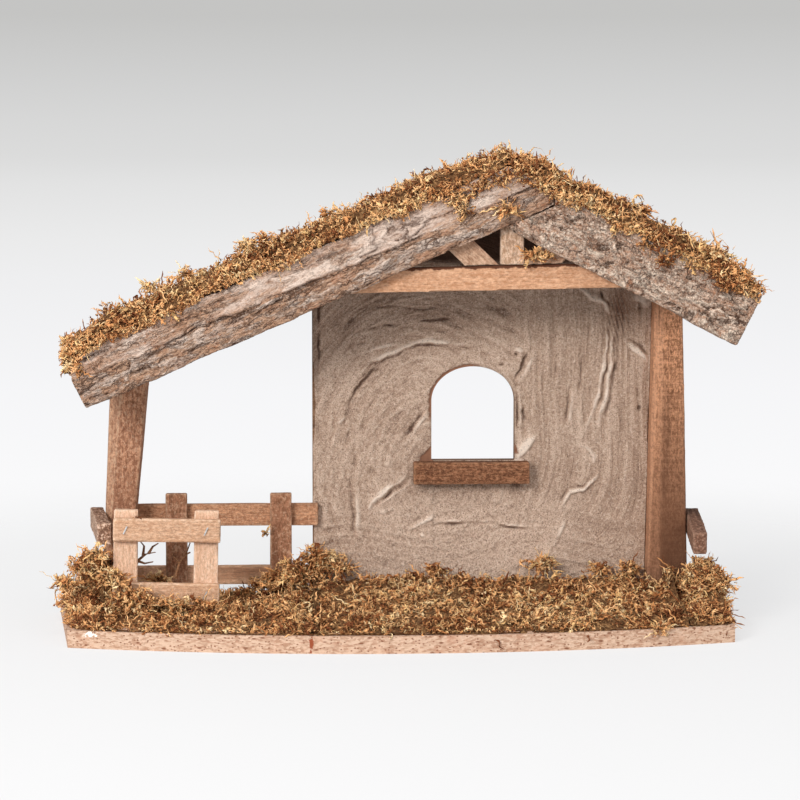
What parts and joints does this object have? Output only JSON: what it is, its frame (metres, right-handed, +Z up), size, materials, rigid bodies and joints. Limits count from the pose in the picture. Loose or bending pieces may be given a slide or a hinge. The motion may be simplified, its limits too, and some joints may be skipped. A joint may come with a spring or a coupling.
{
  "type": "nativity stable",
  "caption": "Rustic wooden stable with a plastered wall and arched window, mossy gable roof, bark fascias, posts and slat fences, for setting figures in.",
  "frame": {"origin": "middle of the base board's underside, midway between its ends and between the front of its bow and its back edge", "axes": "+X along the width to the viewer's right, +Y to the back wall, +Z up to the ridge"},
  "size_m": [0.5002, 0.174, 0.3419],
  "materials": {
    "chipboard": "raw chipboard, flecked, sawn edge",
    "plywood": "raw brown board",
    "plaster": "rough trowelled taupe plaster with dark specks",
    "rough_wood": "stained rough-sawn wood",
    "pale_pine": "pale rough-sawn pine",
    "cedar": "orange rough slat with a dark waney edge",
    "bark": "weathered grey and brown bark, partly peeled",
    "moss": "dried golden-brown moss",
    "steel": "bright wire and zinc-plated screws"
  },
  "bodies": {
    "root": {"base_board": "chipboard", "wall_panel": "plywood", "roof_board_left": "plywood", "roof_board_right": "plywood", "wall_plaster": "plaster", "window_sill": "rough_wood", "left_post": "rough_wood", "right_post": "rough_wood", "rear_fence_upright_left": "rough_wood", "rear_fence_upright_right": "rough_wood", "rear_fence_top_rail": "rough_wood", "rear_fence_bottom_rail": "rough_wood", "left_side_rail": "rough_wood", "right_side_rail": "rough_wood", "bark_slab_left": "bark", "bark_slab_right": "bark", "tie_beam": "cedar", "king_post": "pale_pine", "strut_left": "pale_pine", "strut_right": "pale_pine", "front_fence_upright_left": "pale_pine", "front_fence_upright_right": "pale_pine", "front_fence_top_rail": "pale_pine", "front_fence_bottom_rail": "pale_pine", "roof_moss_left": "moss", "roof_moss_right": "moss", "moss_bed_left": "moss", "moss_bed_pen": "moss", "moss_bed_yard": "moss", "moss_bed_right": "moss", "front_fence_top_staple_left": "steel", "front_fence_top_staple_right": "steel", "front_fence_bottom_staple_left": "steel", "front_fence_bottom_staple_right": "steel", "rear_fence_top_staple_left": "steel", "rear_fence_top_staple_right": "steel", "rear_fence_bottom_staple_left": "steel", "rear_fence_bottom_staple_right": "steel", "rear_fence_top_post_staple": "steel", "rear_fence_bottom_post_staple": "steel", "base_screw_left_post": "steel", "base_screw_right_post": "steel", "base_screw_wall_left": "steel", "base_screw_wall_right": "steel", "roof_nail_left_post": "steel", "roof_nail_wall_left": "steel", "roof_nail_wall_middle": "steel", "roof_nail_wall_right": "steel", "roof_nail_right_post": "steel", "tie_beam_brad_left": "steel", "tie_beam_brad_right": "steel", "king_post_brad": "steel", "left_rail_nail": "steel", "right_rail_nail": "steel"}
  },
  "joints": []
}
